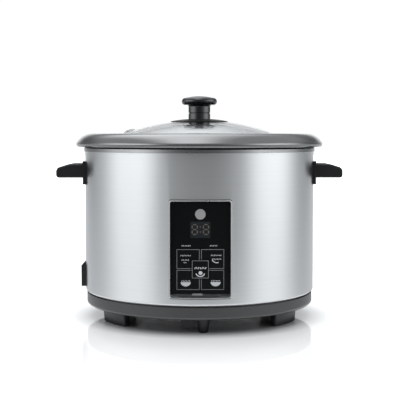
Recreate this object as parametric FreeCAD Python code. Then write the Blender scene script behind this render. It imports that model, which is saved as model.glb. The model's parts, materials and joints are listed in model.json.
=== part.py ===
"""Drum rice cooker with a glass lid, an inner pot and a digital key panel, built as separate pieces.

Millimetres. The origin is on the surface that the feet stand on, under the centre of the body.
+Z is up, -Y is the front with the key panel, +X is the right-hand handle.
Angles are in degrees, counter-clockwise from +X.
"""
import FreeCAD
import Part

import math
import os

Vector = FreeCAD.Vector

# Body: a steel drum between a plastic base and a top collar
shell_radius = 140.0
shell_wall = 0.8
shell_height = 169.3
shell_hem = 3.0
foot_height = 16.5
skirt_height = 14.3
skirt_inset = 1.5
skirt_wall = 2.5
skirt_round = 3.5
shadow_gap = 1.5
floor_wall = 2.5
collar_height = 4.8
collar_proud = 1.0
collar_band = 5.0
deck_wall = 2.2
spigot_wall = 1.7
spigot_depth = 6.0
slip = 0.3                      # clearance between pieces that slide together
touch = 0.1                     # clearance between pieces that sit together

# Inner pot and its wide rolled rim
jacket_depth = 26.0             # from the shell in to the inside of the pot
pot_wall = 2.0
pot_depth = 120.0
pot_corner = 20.0
seat_width = 6.7                # level ledge that the lid stands on
seat_round = 2.0
seat_wall_height = 9.0          # from the ledge up to where the rim starts to roll
roll_inner = 8.0
rim_overhang = 10.4             # how far the rim reaches out past the shell
roll_fall = 12.4                # from the crest down to the rim's widest point
roll_lip = 3.8                  # radius of the lip that turns under at the rim's outer edge
roll_curl = 60.0                # how far the lip turns under, in degrees

# Well, heater and temperature sensor
well_gap = 3.0
well_wall = 0.6
well_hole = 30.0
plate_margin = 19.0             # from the inside of the pot in to the edge of the plate
plate_thickness = 12.0
plate_lift = 6.0                # from the floor of the well up to the plate
plate_hole = 20.0
plate_round = 3.0
heater_ring_radius = 62.0
heater_tube_radius = 4.5
heater_gap_angle = 24.0
heater_terminal_angle = 40.0
heater_terminal_drop = 15.0
sensor_radius = 17.0
sensor_travel = 2.5
sensor_spare = 0.9              # left under the sensor at the bottom of its travel
sensor_wall = 1.5
sensor_top_wall = 4.0
sensor_stem_radius = 4.0
sensor_stem_fit = 0.05
sensor_travel_up = 3.0
spring_radius = 8.0
spring_wire = 0.6               # half the side of the square wire
spring_turns = 5
bracket_wall = 1.5

# Lid
glass_sphere = 269.0
glass_lift = 1.3                # from the ledge up to the glass
glass_wall = 4.0
glass_inset = 2.2               # from the wall over the ledge in to the lid band
lid_band_wall = 1.2
lid_band_lip = 4.5
lid_skirt_depth = 5.0
lid_bore = 6.0
vent_radius = 7.0
vent_reach = 86.0
vent_bore = 2.5
knob_stem_radius = 13.5
knob_cap_radius = 21.9
knob_height = 28.1              # from the skirt to the top of the knob
knob_collar_height = 6.8
knob_groove = 0.8
knob_groove_depth = 0.8
knob_cap_height = 11.0
knob_skirt_radius = 35.0
knob_skirt_rise = 1.5
screw_radius = 2.5

# Side handles
handle_pad_height = 27.6
handle_drop = 12.3              # from the top of the shell down to the pad
handle_pad_wall = 3.3
handle_pad_angle = 12.5
handle_pad_corner = 1.5
ear_reach = 33.5
ear_height = 16.8
ear_offset = 7.9                # from the lower edge of the pad to the underside of the ear
ear_half_width = 26.0
ear_wall = 3.0
ear_edge = 2.4
ear_nose = 3.5
ear_brow_drop = 4.9             # how far the top has sloped down where it turns into the tip
ear_brow_reach = 15.7
ear_brow_round = 6.0

# Key panel
panel_width = 70.0
panel_height = 110.0
panel_bottom = 8.4              # above the lower edge of the shell
panel_proud = 0.8
panel_corner = 2.5
panel_flange = 1.0
panel_recess = 7.6              # how far the flat front face is set back from the shell
fascia_thickness = 2.0
bezel_cheek = 2.0
fascia_margin_bottom = 5.5
fascia_margin_top = 3.2
bezel_lip = 1.4
bezel_round = 2.2
fascia_lip = 0.5                # how far the fascia reaches behind the bezel
key_proud = 0.4
key_travel = 0.5
key_gap = 0.3
key_spacing = 1.6
key_row_spacing = 1.3
key_margin = 5.3                # from the keys out to the edge of the fascia
key_block_bottom = 9.6         # above the lower edge of the bezel
key_lower_height = 22.1
key_upper_height = 21.8
key_centre_half_width = 9.3
key_centre_height = 19.9
key_flange = 0.5
board_wall = 1.6
board_gap = 6.8                 # from the back of the fascia to the control board
badge_radius = 5.8
badge_drop = 13.3
window_drop = 21.5
window_width = 22.0
window_height = 18.0

# Mains inlet
inlet_flange_side = 3.5
inlet_flange_end = 5.0
inlet_proud = 4.5
inlet_bottom = 4.3              # above the lower edge of the shell
inlet_chamfer = 4.5
socket_wall_side = 1.5
socket_wall_end = 2.0
socket_width = 24.0
socket_height = 16.0
socket_depth = 17.0
socket_pin_length = 11.5

# Base
foot_inset = 12.5
foot_width = 9.0
foot_span = 22.0
foot_angles = [35.0, 145.0, 215.0, 325.0]
pad_height = 1.5
stud_inset = 18.5
stud_offset = 3.5
stud_top_radius = 7.8
stud_bottom_radius = 5.5
cover_opening = 66.0
cover_radius = 74.0
cover_wall = 1.2
pillar_angles = (10.0, 130.0, 250.0)
pillar_margin = 11.0            # from the edge of the plate out to the pillars
pillar_radius = 6.0
standoff_angles = (90.0, 210.0, 330.0)
standoff_margin = 13.0          # from the edge of the plate in to the posts
standoff_radius = 5.0
thread_radius = 2.0
thread_clearance = 0.2
head_radius = 4.0
head_height = 2.5

# Places that follow from the sizes above
skirt_radius = shell_radius - skirt_inset
skirt_bottom_z = foot_height
skirt_top_z = skirt_bottom_z + skirt_height
floor_top_z = skirt_bottom_z + floor_wall
shell_bottom_z = skirt_top_z + shadow_gap
shell_top_z = shell_bottom_z + shell_height
shell_inner = shell_radius - shell_wall
spigot_outer = shell_inner - slip
deck_top_z = shell_top_z + deck_wall
seat_z = deck_top_z + slip + pot_wall
pot_radius = shell_radius - jacket_depth
pot_outer = pot_radius + pot_wall
pot_floor_z = seat_z - pot_depth
pot_bottom_z = pot_floor_z - pot_wall
seat_outer = pot_outer + seat_width
roll_start_z = seat_z + seat_wall_height
crest_radius = seat_outer + roll_inner
crest_z = roll_start_z + roll_inner
lip_reach = shell_radius + rim_overhang - roll_lip - crest_radius
roll_lead = (lip_reach ** 2 + (roll_fall - roll_lip) ** 2) / (2 * (roll_fall - roll_lip))
roll_outer = roll_lead + roll_lip
roll_join = math.degrees(math.acos(lip_reach / roll_lead))
well_inner = pot_outer + well_gap
well_outer = well_inner + well_wall
plate_radius = pot_radius - plate_margin
plate_bottom_z = pot_bottom_z - plate_thickness
well_bottom_z = plate_bottom_z - plate_lift
pillar_reach = plate_radius + pillar_margin
standoff_reach = plate_radius - standoff_margin
foot_outer = skirt_radius - foot_inset
foot_inner = foot_outer - foot_width
stud_reach = skirt_radius - stud_inset
glass_radius = seat_outer - glass_inset - lid_band_wall - slip
glass_centre_z = seat_z + glass_lift - math.sqrt((glass_sphere - glass_wall) ** 2 - glass_radius ** 2)
glass_top_z = glass_centre_z + glass_sphere
panel_bottom_z = shell_bottom_z + panel_bottom
panel_top_z = panel_bottom_z + panel_height
fascia_bottom_z = panel_bottom_z + fascia_margin_bottom
fascia_top_z = panel_top_z - fascia_margin_top
fascia_half_width = panel_width / 2 - bezel_lip - bezel_cheek
key_block_half_width = fascia_half_width - key_margin
panel_plane = shell_radius - panel_recess
fascia_back = panel_plane - fascia_thickness
board_front = fascia_back - board_gap
board_back = board_front - board_wall
handle_bottom_z = shell_top_z - handle_drop - handle_pad_height
inlet_body_width = socket_width + 2 * socket_wall_side
inlet_body_height = socket_height + 2 * socket_wall_end
inlet_width = inlet_body_width + 2 * inlet_flange_side
inlet_height = inlet_body_height + 2 * inlet_flange_end
inlet_bottom_z = shell_bottom_z + inlet_bottom
inlet_centre_z = inlet_bottom_z + (inlet_height - inlet_chamfer) / 2 + 1.0


def polar(radius, angle, z=0.0):
    """The point at a radius and an angle round the centre line."""
    a = math.radians(angle)
    return Vector(radius * math.cos(a), radius * math.sin(a), z)


def disc(radius, z0, z1, at=Vector(0, 0, 0)):
    """A solid upright cylinder between two heights."""
    return Part.makeCylinder(radius, z1 - z0, Vector(at.x, at.y, z0))


def ring(inner, outer, z0, z1):
    """An upright tube between two heights."""
    return disc(outer, z0, z1).cut(disc(inner, z0 - 1, z1 + 1))


def block(x0, x1, y0, y1, z0, z1):
    """A box between two corners."""
    return Part.makeBox(x1 - x0, y1 - y0, z1 - z0, Vector(x0, y0, z0))


def outline(points):
    """A closed wire in the XZ plane. A point is (x, z); an arc's middle point is (x, z, 'arc')."""
    edges = []
    here = Vector(points[0][0], 0, points[0][1])
    start, middle = here, None
    for point in list(points[1:]) + [points[0]]:
        there = Vector(point[0], 0, point[1])
        if len(point) == 3:
            middle = there
            continue
        if middle is not None:
            edges.append(Part.Arc(here, middle, there).toShape())
        elif (there - here).Length > 1e-7:
            edges.append(Part.LineSegment(here, there).toShape())
        here, middle = there, None
    return Part.Wire(edges)


def turned(points, angle=360.0, start=0.0):
    """A solid turned round the centre line from an (r, z) outline."""
    solid = Part.Face(outline(points)).revolve(Vector(0, 0, 0), Vector(0, 0, 1), angle)
    solid.rotate(Vector(0, 0, 0), Vector(0, 0, 1), start)
    return solid


def arc_point(centre, radius, angle):
    """(r, z) on a circle; the angle is measured from +r towards +z."""
    a = math.radians(angle)
    return (centre[0] + radius * math.cos(a), centre[1] + radius * math.sin(a))


def as_middle(point):
    """Marks an (r, z) point as the middle of an arc."""
    return (point[0], point[1], "arc")


def moved(shape, x=0.0, y=0.0, z=0.0):
    copy = shape.copy()
    copy.translate(Vector(x, y, z))
    return copy


def about_z(shape, angle):
    copy = shape.copy()
    copy.rotate(Vector(0, 0, 0), Vector(0, 0, 1), angle)
    return copy


def rounded_plate(x0, x1, z0, z1, y0, y1, corner):
    """A plate that faces the front, with rounded corners."""
    k = corner * (1 - math.sqrt(0.5))
    wire = outline([
        (x0 + corner, z0), (x1 - corner, z0), (x1 - k, z0 + k, "arc"), (x1, z0 + corner),
        (x1, z1 - corner), (x1 - k, z1 - k, "arc"), (x1 - corner, z1),
        (x0 + corner, z1), (x0 + k, z1 - k, "arc"), (x0, z1 - corner),
        (x0, z0 + corner), (x0 + k, z0 + k, "arc")])
    face = Part.Face(wire)
    face.translate(Vector(0, y0, 0))
    return face.extrude(Vector(0, y1 - y0, 0))


def glass_z(radius, depth=0.0):
    """Height of the glass dome's outer face, or of a face that far below it."""
    return glass_centre_z + math.sqrt((glass_sphere - depth) ** 2 - radius ** 2)


def ball(radius):
    """A solid ball about the centre of the glass dome."""
    return Part.makeSphere(radius, Vector(0, 0, glass_centre_z))


def front_of(distance, x=0.0):
    """The Y of a cylinder of that radius at x, on the front side."""
    return -math.sqrt(distance ** 2 - x ** 2)


# Body -------------------------------------------------------------------------------------

def handle_hole_places():
    """(z, y) of the two screws of each handle."""
    z = handle_bottom_z + ear_offset + ear_height / 2
    return [(z, -ear_half_width + 8.0), (z, ear_half_width - 8.0)]


def outer_shell():
    hem_centre = (shell_radius - shell_hem, shell_bottom_z + shell_hem)
    inner_hem = shell_hem - shell_wall
    shell = turned([
        (shell_inner, shell_top_z), (shell_radius, shell_top_z), (shell_radius, hem_centre[1]),
        as_middle(arc_point(hem_centre, shell_hem, -45)), arc_point(hem_centre, shell_hem, -90),
        arc_point(hem_centre, inner_hem, -90), as_middle(arc_point(hem_centre, inner_hem, -45)),
        (shell_inner, hem_centre[1])])
    shell = shell.cut(panel_prism(panel_flange - slip, shell_radius + 5, shell_radius - 20))
    inlet_y = inlet_body_width / 2 + touch
    inlet_z = inlet_body_height / 2 + touch
    shell = shell.cut(block(-shell_radius - 5, -shell_radius + 20, -inlet_y, inlet_y,
                            inlet_centre_z - inlet_z, inlet_centre_z + inlet_z))
    for z, y in handle_hole_places():
        shell = shell.cut(Part.makeCylinder(thread_radius + thread_clearance, 3 * shell_radius,
                                            Vector(-1.5 * shell_radius, y, z), Vector(1, 0, 0)))
    return shell


def top_collar():
    band_inner = shell_radius + collar_proud - collar_band
    outer = shell_radius + collar_proud
    top = shell_top_z + collar_height
    edge = 1.2
    return turned([
        (well_inner - slip - 1.2, deck_top_z), (band_inner, deck_top_z), (band_inner, top),
        (outer - edge, top), as_middle(arc_point((outer - edge, top - edge), edge, 45)),
        (outer, top - edge), (outer, shell_top_z), (spigot_outer, shell_top_z),
        (spigot_outer, shell_top_z - spigot_depth),
        (spigot_outer - spigot_wall, shell_top_z - spigot_depth),
        (spigot_outer - spigot_wall, shell_top_z), (well_inner - slip - 1.2, shell_top_z)])


def casing_pieces():
    """The well's flange, wall and floor, which are joined at their edges."""
    flange_outer = spigot_outer - spigot_wall - slip
    top = shell_top_z
    flange = ring(well_outer, flange_outer, top - well_wall, top)
    wall = ring(well_inner, well_outer, well_bottom_z, top)
    floor = ring(well_hole, well_outer, well_bottom_z - well_wall, well_bottom_z)
    hole = thread_radius + thread_clearance
    for angle in pillar_angles:
        floor = floor.cut(disc(hole, well_bottom_z - 5, well_bottom_z + 5, polar(pillar_reach, angle)))
    for angle in standoff_angles:
        floor = floor.cut(disc(hole, well_bottom_z - 5, well_bottom_z + 5, polar(standoff_reach, angle)))
    for place in heater_ends():
        floor = floor.cut(disc(heater_tube_radius + 2, well_bottom_z - 5, well_bottom_z + 5, place))
    return {"casing_flange": flange, "casing_wall": wall, "casing_floor": floor}


# Base -------------------------------------------------------------------------------------

def base_pan():
    spigot = shell_radius - shell_hem - slip - 0.9
    spigot_inner = spigot - 2.2
    wall_inner = skirt_radius - skirt_wall
    shelf = skirt_top_z - 2.0
    turn = (skirt_radius - skirt_round, skirt_bottom_z + skirt_round)
    pan = turned([
        (cover_opening, skirt_bottom_z), (turn[0], skirt_bottom_z),
        as_middle(arc_point(turn, skirt_round, -45)), (skirt_radius, turn[1]),
        (skirt_radius, skirt_top_z), (spigot, skirt_top_z), (spigot, skirt_top_z + 7.5),
        (spigot_inner, skirt_top_z + 7.5), (spigot_inner, shelf), (wall_inner, shelf),
        (wall_inner, floor_top_z), (cover_opening, floor_top_z)])
    for angle in pillar_angles:
        pan = pan.fuse(disc(pillar_radius, skirt_bottom_z, well_bottom_z - well_wall,
                            polar(pillar_reach, angle)))
    for place in board_post_places():
        pan = pan.fuse(disc(3.5, skirt_bottom_z, power_board_z, place))
    for place in cover_screw_places():
        pan = pan.fuse(disc(3.2, skirt_bottom_z, floor_top_z + 5, place))
    for angle in pillar_angles:
        place = polar(pillar_reach, angle)
        pan = pan.cut(disc(thread_radius + thread_clearance, 0, well_bottom_z + 5, place))
        pan = pan.cut(disc(head_radius + slip, 0, skirt_bottom_z + 3.5, place))
    for place in board_post_places():
        pan = pan.cut(disc(1.25, floor_top_z, power_board_z + 5, place))
    for place in cover_screw_places():
        pan = pan.cut(disc(1.5, 0, floor_top_z + 4, place))
    for angle in foot_angles:
        pan = pan.cut(disc(foot_plug_radius + touch, 0, floor_top_z + 5, foot_plug_place(angle)))
    pan = pan.cut(disc(foot_plug_radius + touch, 0, floor_top_z + 5,
                       Vector(stud_offset, -stud_reach, 0)))
    return pan


def intake_hood():
    """A short air scoop under the front edge, open to the rear."""
    x0, x1, y0, y1, drop, wall = -21.5, -5.5, -119.0, -101.0, 13.0, 1.8
    hood = block(x0, x1, y0, y1, skirt_bottom_z - drop, skirt_bottom_z)
    return hood.cut(block(x0 + wall, x1 - wall, y0 + wall, y1 + 1,
                          skirt_bottom_z - drop + wall, skirt_bottom_z))


foot_plug_radius = 3.0
foot_plug_height = 5.0


def foot_plug_place(angle):
    return polar((foot_inner + foot_outer) / 2, angle)


def arc_foot(angle):
    draft = 1.0
    profile = [(foot_inner + draft, pad_height), (foot_outer - draft, pad_height),
               (foot_outer, skirt_bottom_z), (foot_inner, skirt_bottom_z)]
    foot = turned(profile, foot_span, angle - foot_span / 2)
    upright = [e for e in foot.Edges if abs(e.BoundBox.ZLength) > foot_height - pad_height - 0.5]
    foot = foot.makeFillet(2.0, upright)
    return foot.fuse(disc(foot_plug_radius, skirt_bottom_z - 1, skirt_bottom_z + foot_plug_height,
                          foot_plug_place(angle)))


def arc_feet():
    """The four arc-shaped feet, each with a plug that goes up through the base."""
    return Part.makeCompound([arc_foot(angle) for angle in foot_angles])


def foot_pads():
    inset = 1.8
    span = foot_span - 3.0
    pads = [turned([(foot_inner + inset, 0), (foot_outer - inset, 0),
                    (foot_outer - inset, pad_height), (foot_inner + inset, pad_height)],
                   span, angle - span / 2) for angle in foot_angles]
    return Part.makeCompound(pads)


def front_stud():
    edge = 2.0
    stud = turned([
        (0, 0), (stud_bottom_radius - edge, 0),
        as_middle(arc_point((stud_bottom_radius - edge, edge), edge, -45)),
        (stud_bottom_radius, edge), (stud_top_radius, skirt_bottom_z),
        (foot_plug_radius, skirt_bottom_z), (foot_plug_radius, skirt_bottom_z + foot_plug_height),
        (0, skirt_bottom_z + foot_plug_height)])
    return moved(stud, x=stud_offset, y=-stud_reach)


def cover_screw_places():
    return [polar((cover_opening + cover_radius) / 2, a) for a in (45.0, 135.0, 225.0, 315.0)]


def bottom_cover():
    cover = disc(cover_radius, skirt_bottom_z - cover_wall, skirt_bottom_z)
    slot_half, slot_reach, rows = 1.6, 22.0, 5
    for side in (-1, 1):
        for row in range(rows):
            y = side * (16.0 + row * 8.0)
            slot = block(-slot_reach, slot_reach, y - slot_half, y + slot_half, 0, foot_height + 5)
            for end in (-slot_reach, slot_reach):
                slot = slot.fuse(disc(slot_half, 0, foot_height + 5, Vector(end, y, 0)))
            cover = cover.cut(slot)
    for place in cover_screw_places():
        cover = cover.cut(disc(1.7, 0, foot_height + 5, place))
    return cover


def pan_head_screw(place, head_z, length, radius, head, height, up=True):
    """A round-headed screw along Z. The head's inner face is at head_z."""
    way = 1 if up else -1
    low, high = sorted((head_z, head_z - way * height))
    screw = disc(head, low, high, place)
    low, high = sorted((head_z, head_z + way * length))
    screw = screw.fuse(disc(radius, low, high, place))
    slot_low, slot_high = sorted((head_z - way * height, head_z - way * height * 0.45))
    for angle in (0, 90):
        cross = block(-head * 0.55, head * 0.55, -head * 0.11, head * 0.11, slot_low, slot_high)
        screw = screw.cut(moved(about_z(cross, angle), place.x, place.y))
    return screw


def cover_screws():
    return Part.makeCompound([
        pan_head_screw(p, skirt_bottom_z - cover_wall, cover_wall + floor_wall + 3, 1.5, 3.0, 1.6)
        for p in cover_screw_places()])


def tie_fasteners():
    """Long screws through the base pillars, and their nuts inside the well."""
    pieces = []
    head_z = skirt_bottom_z + 3.5
    for angle in pillar_angles:
        place = polar(pillar_reach, angle)
        reach = well_bottom_z + 4.2 - head_z
        pieces.append(pan_head_screw(place, head_z, reach, thread_radius, head_radius, head_height))
        nut = Part.Face(Part.makePolygon([polar(3.9, 60 * i) for i in range(7)]))
        nut = nut.extrude(Vector(0, 0, 3.0))
        nut = nut.cut(disc(thread_radius, -1, 5))
        pieces.append(moved(nut, place.x, place.y, well_bottom_z))
    return Part.makeCompound(pieces)


# Heater and sensor ------------------------------------------------------------------------

def heater_ends():
    half = heater_gap_angle / 2
    return [polar(heater_ring_radius, heater_terminal_angle + side * half) for side in (-1, 1)]


def heater_ring(tube):
    """The heater's ring, as a solid of that tube radius, centred on the plate's underside."""
    circle = Part.Wire(Part.Circle(Vector(heater_ring_radius, 0, plate_bottom_z),
                                   Vector(0, 1, 0), tube).toShape())
    sweep = Part.Face(circle).revolve(Vector(0, 0, 0), Vector(0, 0, 1), 360 - heater_gap_angle)
    return about_z(sweep, heater_terminal_angle + heater_gap_angle / 2)


def heater_tube():
    tube = heater_ring(heater_tube_radius)
    low = plate_bottom_z - heater_terminal_drop
    for place in heater_ends():
        knee = Part.makeSphere(heater_tube_radius, Vector(place.x, place.y, plate_bottom_z))
        leg = disc(heater_tube_radius, low + 6, plate_bottom_z, place)
        pin = disc(1.6, low, low + 6, place)
        tube = tube.fuse(knee).fuse(leg).fuse(pin)
    return tube


def heating_plate():
    edge = (plate_radius - plate_round, pot_bottom_z - plate_round)
    plate = turned([
        (plate_hole, plate_bottom_z), (plate_radius, plate_bottom_z), (plate_radius, edge[1]),
        as_middle(arc_point(edge, plate_round, 45)), (edge[0], pot_bottom_z),
        (plate_hole, pot_bottom_z)])
    plate = plate.cut(heater_ring(heater_tube_radius))
    for place in heater_ends():
        plate = plate.cut(Part.makeSphere(heater_tube_radius, Vector(place.x, place.y, plate_bottom_z)))
    for angle in standoff_angles:
        plate = plate.cut(disc(thread_radius, 0, plate_bottom_z + 7, polar(standoff_reach, angle)))
    return plate


def plate_standoffs():
    posts = []
    for angle in standoff_angles:
        place = polar(standoff_reach, angle)
        post = disc(standoff_radius, well_bottom_z, plate_bottom_z, place)
        posts.append(post.cut(disc(thread_radius + thread_clearance, 0, 200, place)))
    return Part.makeCompound(posts)


def standoff_screws():
    head_z = well_bottom_z - well_wall
    reach = plate_bottom_z + 6 - head_z
    return Part.makeCompound([
        pan_head_screw(polar(standoff_reach, a), head_z, reach, thread_radius, head_radius, head_height)
        for a in standoff_angles])


def sensor_bracket():
    top = well_bottom_z + bracket_wall
    hole = sensor_stem_radius + sensor_stem_fit
    plate = disc(well_hole + 8, well_bottom_z, top)
    sleeve = disc(hole + 1.6, well_bottom_z - 5, well_bottom_z)
    bracket = plate.fuse(sleeve).cut(disc(hole, 0, 200))
    for angle in (45.0, 165.0, 285.0):
        bracket = bracket.cut(disc(6.0, 0, 200, polar(21.0, angle)))
    return bracket


def sensor_cap():
    top = pot_bottom_z - touch
    low = well_bottom_z + bracket_wall + sensor_travel + sensor_spare
    roof = top - sensor_top_wall
    edge = 1.5
    cap = turned([
        (sensor_radius - sensor_wall, low), (sensor_radius, low), (sensor_radius, top - edge),
        as_middle(arc_point((sensor_radius - edge, top - edge), edge, 45)),
        (sensor_radius - edge, top), (0, top), (0, roof), (sensor_radius - sensor_wall, roof)])
    stem = disc(sensor_stem_radius, sensor_stem_end_z(), roof + 1)
    groove = ring(sensor_stem_radius - 0.8, sensor_stem_radius + 1,
                  sensor_clip_z() - 0.05, sensor_clip_z() + 1.05)
    return cap.fuse(stem).cut(groove)


def sensor_clip_z():
    """The underside of the clip that stops the sensor at the top of its travel."""
    return well_bottom_z - 5 - sensor_travel_up - 1.0


def sensor_stem_end_z():
    return sensor_clip_z() - 2.5


def sensor_clip():
    low = sensor_clip_z()
    clip = ring(sensor_stem_radius - 0.8, 7.0, low, low + 1.0)
    mouth = 2 * (sensor_stem_radius - 0.8)
    return clip.cut(block(-mouth / 2, mouth / 2, 0, 10, low - 1, low + 2))


def sensor_spring():
    low = well_bottom_z + bracket_wall + spring_wire
    high = pot_bottom_z - touch - sensor_top_wall - spring_wire
    helix = Part.makeLongHelix((high - low) / spring_turns, high - low, spring_radius)
    half = spring_wire
    square = Part.makePolygon([Vector(spring_radius + x, 0, z) for x, z in (
        (-half, -half), (half, -half), (half, half), (-half, half), (-half, -half))])
    coil = Part.Wire(helix.Edges).makePipeShell([square], True, True)
    return moved(coil, z=low)


def thermal_fuse():
    axis_z = plate_bottom_z - 3.0
    body = Part.makeCylinder(3.0, 16.0, Vector(-8, -42, axis_z), Vector(1, 0, 0))
    leads = Part.makeCylinder(0.6, 30.0, Vector(-15, -42, axis_z), Vector(1, 0, 0))
    return body.fuse(leads)


# Pot and lid ------------------------------------------------------------------------------

def whole_pot():
    floor_centre = (pot_radius - pot_corner, pot_floor_z + pot_corner)
    outer_corner = pot_corner + pot_wall
    brow = (pot_outer, seat_z - pot_wall)
    seat_centre = (seat_outer - seat_round, seat_z + seat_round)
    crest = (crest_radius, roll_start_z)
    roll = (crest_radius, crest_z - roll_outer)
    lip = (crest_radius + lip_reach, crest_z - roll_fall)
    half = pot_wall / 2
    tip = arc_point(lip, roll_lip - half, -roll_curl)
    middle = (90.0 + roll_join) / 2
    lip_middle = (roll_join - roll_curl) / 2
    return turned([
        (0, pot_floor_z), (floor_centre[0], pot_floor_z),
        as_middle(arc_point(floor_centre, pot_corner, -45)), (pot_radius, floor_centre[1]),
        (pot_radius, brow[1]), as_middle(arc_point(brow, pot_wall, 135)), (pot_outer, seat_z),
        (seat_centre[0], seat_z), as_middle(arc_point(seat_centre, seat_round, -45)),
        (seat_outer, seat_centre[1]), (seat_outer, roll_start_z),
        as_middle(arc_point(crest, roll_inner, 135)), (crest_radius, crest_z),
        as_middle(arc_point(roll, roll_outer, middle)), arc_point(roll, roll_outer, roll_join),
        as_middle(arc_point(lip, roll_lip, lip_middle)), arc_point(lip, roll_lip, -roll_curl),
        as_middle(arc_point(tip, half, -90 - roll_curl)),
        arc_point(lip, roll_lip - pot_wall, -roll_curl),
        as_middle(arc_point(lip, roll_lip - pot_wall, lip_middle)),
        arc_point(roll, roll_outer - pot_wall, roll_join),
        as_middle(arc_point(roll, roll_outer - pot_wall, middle)), (crest_radius, crest_z - pot_wall),
        as_middle(arc_point(crest, roll_inner - pot_wall, 135)), (seat_outer + pot_wall, roll_start_z),
        (seat_outer + pot_wall, seat_centre[1]),
        as_middle(arc_point(seat_centre, seat_round + pot_wall, -45)), (seat_centre[0], brow[1]),
        (pot_outer, brow[1]), (pot_outer, floor_centre[1]),
        as_middle(arc_point(floor_centre, outer_corner, -45)), (floor_centre[0], pot_bottom_z),
        (0, pot_bottom_z)])


def pot_pieces():
    """The pot's floor, wall and rim, which are one pressing in three zones."""
    pot = whole_pot()
    rim_start = seat_z - pot_wall - 4.0
    floor = pot.common(disc(pot_radius - pot_corner, pot_bottom_z - 1, pot_floor_z))
    rim = pot.common(disc(2 * shell_radius, rim_start, crest_z + 1))
    wall = pot.cut(floor).cut(rim)
    return {"pot_floor": floor, "pot_wall": wall, "pot_rim": rim}


def vent_way(shape):
    """Tips a shape built on the centre line over to the steam vent's place on the dome."""
    tilt = math.degrees(math.asin(vent_reach / glass_sphere))
    copy = shape.copy()
    copy.rotate(Vector(0, 0, glass_centre_z), Vector(0, 1, 0), -tilt)
    return copy


def lid_glass():
    middle = glass_radius / 2
    inner = glass_wall
    glass = turned([
        (lid_bore, glass_z(lid_bore)), (middle, glass_z(middle), "arc"),
        (glass_radius, glass_z(glass_radius)), (glass_radius, glass_z(glass_radius, inner)),
        (middle, glass_z(middle, inner), "arc"), (lid_bore, glass_z(lid_bore, inner))])
    return glass.cut(vent_way(disc(vent_bore + 2.0, glass_top_z - 20, glass_top_z + 20)))


def lid_band():
    edge_low = seat_z
    lip = edge_low + 1.0
    wall_in = glass_radius + slip
    wall_out = wall_in + lid_band_wall
    skirt_out = pot_radius - 1.4
    skirt_in = skirt_out - 1.0
    brim = glass_radius - lid_band_lip
    brim_z = glass_z(brim)
    band = turned([
        (skirt_in, edge_low - lid_skirt_depth), (skirt_out, edge_low - lid_skirt_depth),
        (skirt_out, edge_low), (wall_out, edge_low), (wall_out, glass_z(glass_radius) + 0.5),
        (brim + 1.0, brim_z + 0.8), (brim, brim_z + 0.2), (brim, brim_z - 1.0),
        (wall_in, glass_z(glass_radius) - 1.0), (wall_in, lip), (skirt_in, lip)])
    return band.cut(ball(glass_sphere).common(disc(wall_in, lip, glass_top_z)))


def steam_vent():
    top = glass_top_z
    vent = turned([
        (vent_bore, top - glass_wall - 1.2), (vent_bore + 3.5, top - glass_wall - 1.2),
        (vent_bore + 3.5, top - glass_wall - 0.2), (vent_bore + 2.0, top - glass_wall - 0.2),
        (vent_bore + 2.0, top), (vent_radius, top), (vent_radius, top + 0.8),
        (vent_bore + 3.0, top + 1.8), (vent_bore + 2.0, top + 2.4), (vent_bore, top + 2.4)])
    return vent_way(vent)


def knob_skirt():
    top_edge = glass_z(knob_skirt_radius) + 0.7
    stem_top = glass_z(knob_stem_radius) + knob_skirt_rise
    middle = (knob_skirt_radius + knob_stem_radius) / 2
    return turned([
        (lid_bore, glass_z(lid_bore)), (knob_skirt_radius / 2, glass_z(knob_skirt_radius / 2), "arc"),
        (knob_skirt_radius, glass_z(knob_skirt_radius)), (knob_skirt_radius, top_edge),
        (middle, glass_z(middle) + 1.35, "arc"), (knob_stem_radius, stem_top), (lid_bore, stem_top)])


knob_base_z = glass_z(knob_stem_radius) + knob_skirt_rise
knob_top_z = knob_base_z + knob_height


def knob_collar():
    low = knob_base_z
    high = low + knob_collar_height
    edge = 0.6
    return turned([
        (screw_radius, low), (knob_stem_radius, low), (knob_stem_radius, high - edge),
        as_middle(arc_point((knob_stem_radius - edge, high - edge), edge, 45)),
        (knob_stem_radius - edge, high), (knob_stem_radius - knob_groove_depth, high),
        (knob_stem_radius - knob_groove_depth, high + knob_groove),
        (screw_radius, high + knob_groove)])


def knob_cap():
    low = knob_base_z + knob_collar_height + knob_groove
    under = knob_top_z - knob_cap_height
    neck = 2.0
    bead = 4.4
    bead_centre = (knob_cap_radius - bead, under + bead)
    crown = (0, knob_top_z)
    shoulder = arc_point(bead_centre, bead, 72)
    crown_sphere = (shoulder[0] ** 2 + (knob_top_z - shoulder[1]) ** 2) / (2 * (knob_top_z - shoulder[1]))
    rise = knob_top_z - crown_sphere + math.sqrt(crown_sphere ** 2 - (shoulder[0] / 2) ** 2)
    return turned([
        (screw_radius, low), (knob_stem_radius - 0.6, low),
        as_middle(arc_point((knob_stem_radius - 0.6, low + 0.6), 0.6, -45)),
        (knob_stem_radius, low + 0.6), (knob_stem_radius, under - neck),
        as_middle(arc_point((knob_stem_radius + neck, under - neck), neck, 135)),
        (knob_stem_radius + neck, under), (bead_centre[0], under),
        as_middle(arc_point(bead_centre, bead, -10)), shoulder,
        (shoulder[0] / 2, rise, "arc"), crown, (0, low + 7.5), (screw_radius, low + 7.5)])


def knob_gasket():
    inside = ball(glass_sphere - glass_wall)
    flange = disc(14.0, knob_washer_top_z(), glass_top_z).common(inside)
    bush = disc(lid_bore, knob_washer_top_z(), knob_base_z)
    return flange.fuse(bush).cut(disc(screw_radius, 0, 400))


def knob_washer_top_z():
    return glass_z(14.0, glass_wall) - 1.2


def knob_washer():
    top = knob_washer_top_z()
    return ring(screw_radius, 10.0, top - 1.2, top)


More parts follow.
